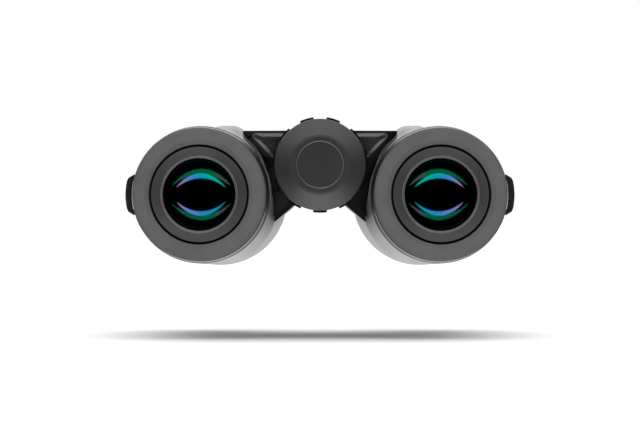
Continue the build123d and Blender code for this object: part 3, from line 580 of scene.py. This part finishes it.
eye_lenses = []
for hand in inward:
    axis = ocular_axes[hand]
    bm = bmesh.new()
    turned(bm, dome(lens_apex, lens_curve, lens_radius) + eye_lens_edge, axis)
    glass = eye_lens_glass(hand + "_eye_lens_coated_glass", axis, inward[hand])
    eye_lenses.append(piece(hand + "_eye_lens_element", bm, ocular_bodies[hand], "eye_glass", [glass],
                            hand + "_eye_lens"))
    bm = bmesh.new()
    turned(bm, bezel, axis)
    piece(hand + "_eyepiece_bezel", bm, ocular_bodies[hand], "bezel", [bezel_black, bezel_rim_highlight],
          hand + "_eye_bezel")
    wear(anodised, hand + "_ocular_tube", hand + "_ocular_cell")

# Collars: turned rings of black polycarbonate behind the eyecups. The left one is fixed; the right one is
# the dioptre ring, with fine finger ribs between its two plain edges.
collar_start, collar_end, collar_bore = 14.6, 23.8, 17.6
collar_near, collar_lip, collar_far = 19.5, 19.75, 20.0
collar_front_round, collar_back_round, collar_bore_round = 0.08, 0.15, 0.3
belt_start, belt_end, belt_depth, belt_slope, belt_round = 17.4, 22.4, 0.4, 0.2, 0.06
rib_count, rib_width, rib_height, rib_root, rib_gap, rib_edge = 72, 0.8, 0.35, 0.1, 0.1, 0.1
# Satin polycarbonate: dark grey, with hardly any shine.
collar_plastic = grained("satin_black_polycarbonate", "#323233", "#3a3a3b", rough=0.3, grain=0.3,
                         depth=0.004, specular=0.1)


def collar_outline(sunk):
    """The section of a collar, which widens a little towards the barrel, with its belt sunk this deep."""
    return [(collar_near, collar_start, collar_front_round),
            (collar_lip, belt_start - belt_slope, belt_round), (collar_lip - sunk, belt_start, belt_round),
            (collar_lip - sunk, belt_end, belt_round), (collar_lip, belt_end + belt_slope, belt_round),
            (collar_far, collar_end, collar_back_round), (collar_bore, collar_end, collar_back_round),
            (collar_bore, collar_start, collar_bore_round)]


def copies_tree():
    """Geometry Nodes: copies of a shape in a ring about a line along Y through a centre."""
    tree = bpy.data.node_groups.new("copies_around_axis", "GeometryNodeTree")
    tree.interface.new_socket("Geometry", in_out="INPUT", socket_type="NodeSocketGeometry")
    for name, kind in (("Count", "Int"), ("Centre", "Vector"), ("Start", "Float"), ("Finish", "Material")):
        tree.interface.new_socket(name, in_out="INPUT", socket_type="NodeSocket" + kind)
    tree.interface.new_socket("Geometry", in_out="OUTPUT", socket_type="NodeSocketGeometry")
    given = add_node(tree, "NodeGroupInput").outputs
    spots = add_node(tree, "GeometryNodePoints", {"Count": given["Count"], "Position": given["Centre"]})
    index = add_node(tree, "GeometryNodeInputIndex")
    step = add_node(tree, "ShaderNodeMath", {0: 2 * pi, 1: given["Count"]}, operation="DIVIDE")
    angle = add_node(tree, "ShaderNodeMath", {0: index.outputs[0], 1: step.outputs[0], 2: given["Start"]},
                     operation="MULTIPLY_ADD")
    turn = add_node(tree, "ShaderNodeCombineXYZ", {"Y": angle.outputs[0]})
    copies = add_node(tree, "GeometryNodeInstanceOnPoints", {
        "Points": spots.outputs[0], "Instance": given["Geometry"], "Rotation": turn.outputs[0]})
    solid = add_node(tree, "GeometryNodeRealizeInstances", {0: copies.outputs[0]})
    coated = add_node(tree, "GeometryNodeSetMaterial", {
        "Geometry": solid.outputs[0], "Material": given["Finish"]})
    add_node(tree, "NodeGroupOutput", {0: coated.outputs[0]})
    return tree


around_axis = copies_tree()


def add_copies(bm, shape, **values):
    """Adds copies of a shape, modelled about the origin, in a ring; values set the tree's named inputs."""
    mesh = bpy.data.meshes.new("shape")
    shape.to_mesh(mesh)
    shape.free()
    holder = bpy.data.objects.new("shape", mesh)
    bpy.context.scene.collection.objects.link(holder)
    modifier = holder.modifiers.new("copies", "NODES")
    modifier.node_group = around_axis
    for item in around_axis.interface.items_tree:
        if item.name in values:
            modifier[item.identifier] = values[item.name]
    graph = bpy.context.evaluated_depsgraph_get()
    made = bpy.data.meshes.new_from_object(holder.evaluated_get(graph))
    bm.from_mesh(made)
    bpy.data.objects.remove(holder)
    bpy.data.meshes.remove(made)


def arc_block(inner, outer, half_angle, start, end, edge, steps):
    """A raised block on a ring, centred below the origin, with eased edges; sizes in mm and radians."""
    bm = bmesh.new()
    levels = ((start, inner, 0), (start, outer - edge, 0), (start + edge, outer, edge),
              (end - edge, outer, edge), (end, outer - edge, 0), (end, inner, 0))
    columns = []
    for i in range(steps + 1):
        t = min(max(2 * (i - 1) / (steps - 2) - 1, -1), 1)
        at_side = i in (0, steps)
        column = []
        for station, radius, ease in levels:
            angle = -pi / 2 + t * (half_angle - (0 if at_side else ease / radius))
            r = (radius - (ease if at_side else 0)) * mm
            column.append(bm.verts.new((r * cos(angle), station * mm, r * sin(angle))))
        columns.append(column)
    for left, right in zip(columns, columns[1:]):
        for k in range(len(levels)):
            n = (k + 1) % len(levels)
            bm.faces.new([left[k], left[n], right[n], right[k]])
    bm.faces.new(columns[0])
    bm.faces.new(columns[-1][::-1])
    bmesh.ops.recalc_face_normals(bm, faces=bm.faces)
    return bm


bm = bmesh.new()
turned(bm, collar_outline(0.0), ocular_axes["left"])
piece("left_eyepiece_collar", bm, "left_tube", "collar_plastic", [collar_plastic], "left_collar")
bm = bmesh.new()
turned(bm, collar_outline(belt_depth), ocular_axes["right"])
rib_base = collar_lip - belt_depth
rib = arc_block(rib_base - rib_root, rib_base + rib_height, rib_width / 2 / rib_base,
                belt_start + rib_gap, belt_end - rib_gap, rib_edge, steps=4)
centre = Vector((ocular_axes["right"].x, eye_face, ocular_axes["right"].z))
add_copies(bm, rib, Count=rib_count, Centre=centre, Start=0.0, Finish=collar_plastic)
piece("dioptre_adjusting_ring", bm, "dioptre", "collar_plastic", [collar_plastic], "dioptre_ring")

# Eyecups: soft rubber cups bonded to a nylon sleeve, which twists up and down on a guide ring. The face
# is a broad rounded lip, with a shallow step down to the mouth.
cup_radius, cup_bore, cup_length = 19.3, 17.25, 13.8
lip_round, lip_inner = 1.5, 15.75
step_top, step_drop, step_foot, step_depth = 15.5, 0.2, 14.65, 0.75
mouth_radius, mouth_front, mouth_back = 14.45, 1.2, 2.0
cup_round, step_round, mouth_front_round, mouth_back_round = 0.25, 0.2, 0.1, 0.15
cup = [(cup_radius, cup_length, cup_round), (cup_radius, 0.0, lip_round), (lip_inner, 0.0, cup_round),
       (step_top, step_drop, step_round), (step_foot, step_depth, step_round),
       (mouth_radius, mouth_front, mouth_front_round), (mouth_radius, mouth_back, mouth_back_round),
       (cup_bore, mouth_back, 0), (cup_bore, cup_length, 0)]
# Soft rubber: an even, matt mid-grey with no shine at all.
eyecup_rubber = grained("soft_eyecup_rubber", "#626262", "#686868", rough=0.7, grain=0.3, depth=0.02,
                        specular=0.0)
for hand in inward:
    bm = bmesh.new()
    turned(bm, cup, ocular_axes[hand])
    piece(hand + "_eyecup_lip", bm, hand + "_eyecup", "eyecup_rubber", [eyecup_rubber],
          hand + "_eyecup_rubber")
    wear(lug_nylon, hand + "_eyecup_guide", hand + "_eyecup_sleeve")

# Focus wheel: a turned aluminium hub with a softly domed end, a rubber grip with eleven raised blocks
# stretched over it, and a plain disc let into the end inside a fine line, pale grey as a painted highlight.
disc_radius, disc_face, disc_back, line_width, line_round = 6.95, 8.0, 8.72, 0.2, 0.05
recess_radius, recess_floor, recess_round = disc_radius + 0.05, 8.75, 0.06
hub_face, hub_floor, hub_back, hub_round = 8.03, 13.4, 29.4, 0.3
crown_inner, crown_edge, crown_fall, crown_round = 8.4, 13.1, 1.2, 6.0
wheel_radius, body_radius, wheel_bore = 13.365, 11.965, 7.0
flange_front, flange_back, flange_front_round, flange_back_round = 9.6, 11.38, 0.2, 0.15
grip_radius, grip_start, grip_end, grip_round = 12.965, 11.42, 28.2, 0.3
grip_bore = body_radius + 0.02
block_count, block_radius, block_half, block_root = 11, 13.97, 8.5, 0.2
block_start, block_end, block_edge = 11.45, 28.0, 0.15
hub = [(0.0, recess_floor, 0), (recess_radius, recess_floor, 0), (recess_radius, hub_face, recess_round),
       (crown_inner, hub_face, crown_round), (crown_edge, hub_face + crown_fall, hub_round),
       (wheel_radius, flange_front, flange_front_round), (wheel_radius, flange_back, flange_back_round),
       (body_radius, flange_back, 0), (body_radius, hub_back, hub_round), (wheel_bore, hub_back, 0),
       (wheel_bore, hub_floor, 0), (0.0, hub_floor, 0)]
grip = [(grip_radius, grip_start, grip_round), (grip_radius, grip_end, grip_round), (grip_bore, grip_end, 0),
        (grip_bore, grip_start, 0)]
disc = [(0.0, disc_face, 0), (disc_radius - line_width, disc_face, line_round, 1),
        (disc_radius, disc_face + line_width, 0), (disc_radius, disc_back, 0), (0.0, disc_back, 0)]
# Satin paint on aluminium: dark, with broad soft highlights above and below the disc.
wheel_paint = grained("satin_paint_on_aluminium", "#272728", "#2c2c2d", rough=0.36, grain=0.25, depth=0.008,
                      specular=0.65)
# Grip rubber: dead black, so that the blocks show by their outline alone.
wheel_rubber = grained("wheel_grip_rubber", "#050505", "#090909", rough=0.85, grain=0.3, depth=0.02,
                       specular=0.1)
# Satin plastic of the disc: flat and even, a shade darker than the highlights around it.
disc_plastic = grained("satin_disc_plastic", "#2f2f30", "#333334", rough=0.34, grain=0.2, depth=0.005,
                       specular=0.4)
# Pale metal ring round the disc: a painted highlight, a hairline of light.
disc_line_highlight = grained("disc_edge_painted_highlight", "#989898", "#a2a2a2", rough=0.3, grain=0.2, depth=0.003,
                      metallic=0.6)
bm = bmesh.new()
turned(bm, hub, hinge_axis)
piece("focus_wheel_hub", bm, "focus_wheel", "wheel_metal", [wheel_paint], "focus_wheel_core")
bm = bmesh.new()
turned(bm, grip, hinge_axis)
block = arc_block(grip_radius - block_root, block_radius, radians(block_half), block_start, block_end,
                  block_edge, steps=10)
centre = Vector((hinge_axis.x, eye_face, hinge_axis.z))
add_copies(bm, block, Count=block_count, Centre=centre, Start=0.0, Finish=wheel_rubber)
piece("focus_wheel_rubber", bm, "focus_wheel", "wheel_rubber", [wheel_rubber], "focus_wheel_grip")
bm = bmesh.new()
turned(bm, disc, hinge_axis)
piece("focus_wheel_end_disc", bm, "focus_wheel", "wheel_disc", [disc_plastic, disc_line_highlight],
      "focus_wheel_disc")

# Studio: white all round, dark behind the camera and dim at its sides, with a curved strip light above and
# one below the camera that the eye lenses mirror, and a white floor that shows the soft shadow. Its sizes
# are in metres.
scene = bpy.context.scene
scene.view_settings.view_transform = "Standard"
camera = bpy.data.objects.new("camera", bpy.data.cameras.new("camera"))
scene.collection.objects.link(camera)
scene.camera = camera
camera_distance, camera_height = 1.361, 0.0158
camera.location = (0.0, -camera_distance, camera_height)
camera.rotation_euler = (radians(90), 0, 0)
camera.data.sensor_width = 36.0
camera.data.lens = 253.4

# The world is white where the camera sees it. As a light it fades out behind the camera, and dims sideways.
dark_full, dark_gone = -0.66, -0.36
dim_start, dim_full, dim_level = 0.1, 0.6, 0.15
world = bpy.data.worlds.new("white_studio")
scene.world = world
world.use_nodes = True
sky = world.node_tree
sky.nodes.clear()
direction = add_node(sky, "ShaderNodeTexCoord").outputs["Generated"]
toward = add_node(sky, "ShaderNodeSeparateXYZ", {0: direction})
behind_camera = add_node(sky, "ShaderNodeMapRange", {
    "Value": toward.outputs["Y"], "From Min": dark_full, "From Max": dark_gone},
    interpolation_type="SMOOTHSTEP")
sideways = add_node(sky, "ShaderNodeMath", {0: toward.outputs["X"]}, operation="ABSOLUTE")
up_or_down = add_node(sky, "ShaderNodeMath", {0: toward.outputs["Z"]}, operation="ABSOLUTE")
slant = add_node(sky, "ShaderNodeMath", {0: sideways.outputs[0], 1: up_or_down.outputs[0]},
                 operation="SUBTRACT")
at_sides = add_node(sky, "ShaderNodeMapRange", {
    "Value": slant.outputs[0], "From Min": dim_start, "From Max": dim_full,
    "To Min": 1.0, "To Max": dim_level},
    interpolation_type="SMOOTHSTEP")
around = add_node(sky, "ShaderNodeMath", {0: behind_camera.outputs[0], 1: at_sides.outputs[0]},
                  operation="MULTIPLY")
path = add_node(sky, "ShaderNodeLightPath")
seen = add_node(sky, "ShaderNodeMath", {
    0: path.outputs["Is Camera Ray"], 1: path.outputs["Is Transmission Ray"]}, operation="MAXIMUM")
strength = add_node(sky, "ShaderNodeMath", {0: seen.outputs[0], 1: around.outputs[0]}, operation="MAXIMUM")
background = add_node(sky, "ShaderNodeBackground", {
    "Color": linear("#ffffff"), "Strength": strength.outputs[0]})
add_node(sky, "ShaderNodeOutputWorld", {"Surface": background.outputs[0]})

# Strip lights: plain white glow between two bowed edges, given as a height and a bend for each.
strip_glow, strip_distance, strip_half, strip_steps = 13.0, 1.3, 0.64, 24
strip_light, tree = blank("strip_light")
glow = add_node(tree, "ShaderNodeEmission", {"Strength": strip_glow})
add_node(tree, "ShaderNodeOutputMaterial", {"Surface": glow.outputs[0]})
strips = {"upper_strip": (0.40, -0.50, 0.54, -0.82), "lower_strip": (-0.529, 0.82, -0.41, 0.545)}
optic_height = ocular_axes["left"].z
lenses_only = bpy.data.collections.new("lenses_only")
for lens in eye_lenses:
    lenses_only.objects.link(lens)
for name, (low, low_bend, high, high_bend) in strips.items():
    bm = bmesh.new()
    rails = []
    for i in range(strip_steps + 1):
        u = strip_half * (2 * i / strip_steps - 1)
        edges = (low + low_bend * u * u, high + high_bend * u * u)
        rails.append([bm.verts.new((u * strip_distance, eye_face - strip_distance,
                                    optic_height + v * strip_distance)) for v in edges])
    for left, right in zip(rails, rails[1:]):
        bm.faces.new([left[0], right[0], right[1], left[1]])
    mesh = bpy.data.meshes.new(name)
    bm.to_mesh(mesh)
    bm.free()
    mesh.materials.append(strip_light)
    strip = bpy.data.objects.new(name, mesh)
    scene.collection.objects.link(strip)
    strip.visible_camera = False
    strip.light_linking.receiver_collection = lenses_only

# Matt white floor: pure white outside the shadow, and clear from below, so that it hides no underside.
floor_glow, floor_height, floor_half, floor_near, floor_far = 0.03, -0.0208, 6, -1.2, 12
floor_white, tree = blank("white_floor")
matt = add_node(tree, "ShaderNodeBsdfDiffuse", {"Color": linear("#ededed")})
faint_glow = add_node(tree, "ShaderNodeEmission", {"Strength": floor_glow})
lifted = add_node(tree, "ShaderNodeAddShader", {0: matt.outputs[0], 1: faint_glow.outputs[0]})
underside = add_node(tree, "ShaderNodeNewGeometry").outputs["Backfacing"]
clear = add_node(tree, "ShaderNodeBsdfTransparent")
one_sided = add_node(tree, "ShaderNodeMixShader", {0: underside, 1: lifted.outputs[0], 2: clear.outputs[0]})
add_node(tree, "ShaderNodeOutputMaterial", {"Surface": one_sided.outputs[0]})
floor_mesh = bpy.data.meshes.new("floor")
floor_mesh.from_pydata([(-floor_half, floor_near, floor_height), (floor_half, floor_near, floor_height),
                        (floor_half, floor_far, floor_height), (-floor_half, floor_far, floor_height)],
                       [], [(0, 1, 2, 3)])
floor_mesh.materials.append(floor_white)
floor = bpy.data.objects.new("floor", floor_mesh)
scene.collection.objects.link(floor)
floor.visible_diffuse = False
floor.visible_glossy = False
floor.visible_transmission = False
floor.visible_shadow = False

# Two suns light the floor alone, one leaning forward and one back, so that the shadow stays close under
# the object and runs out softly along it.
floor_only = bpy.data.collections.new("floor_only")
floor_only.objects.link(floor)
sun_tilt, sun_spread, sun_share = radians(35), radians(60), 1.2
for name, tilt in (("front_sun", -sun_tilt), ("back_sun", sun_tilt)):
    sun = bpy.data.objects.new(name, bpy.data.lights.new(name, "SUN"))
    sun.data.energy = sun_share / cos(tilt)
    sun.data.angle = sun_spread
    sun.rotation_euler = (tilt, 0, 0)
    sun.light_linking.receiver_collection = floor_only
    scene.collection.objects.link(sun)

# Wide, soft boxes light the rest of the object: two in front, above and below the camera's line, and two
# behind it. Each has its side, its height, its width and its radiance.
no_glass_or_floor = bpy.data.collections.new("no_glass_or_floor")
for left_dark in eye_lenses + [floor]:
    no_glass_or_floor.objects.link(left_dark)
for link in no_glass_or_floor.collection_objects:
    link.light_linking.link_state = "EXCLUDE"
box_distance, box_angle, box_high = 1.3, radians(38), 0.95
boxes = [("upper_box", 1, 1, 2.2, 2.0), ("lower_box", 1, -1, 0.97, 2.7),
         ("upper_back_box", -1, 1, 2.2, 1.1), ("lower_back_box", -1, -1, 2.2, 1.0)]
for name, front, above, box_wide, radiance in boxes:
    box = bpy.data.objects.new(name, bpy.data.lights.new(name, "AREA"))
    box.data.shape = "RECTANGLE"
    box.data.size = box_wide
    box.data.size_y = box_high
    box.data.energy = pi * box_wide * box_high * radiance
    box.location = (0, -front * box_distance * cos(box_angle),
                    optic_height + above * box_distance * sin(box_angle))
    box.rotation_euler = (front * (pi / 2 - above * box_angle), 0, 0)
    box.visible_camera = False
    box.light_linking.receiver_collection = no_glass_or_floor
    scene.collection.objects.link(box)
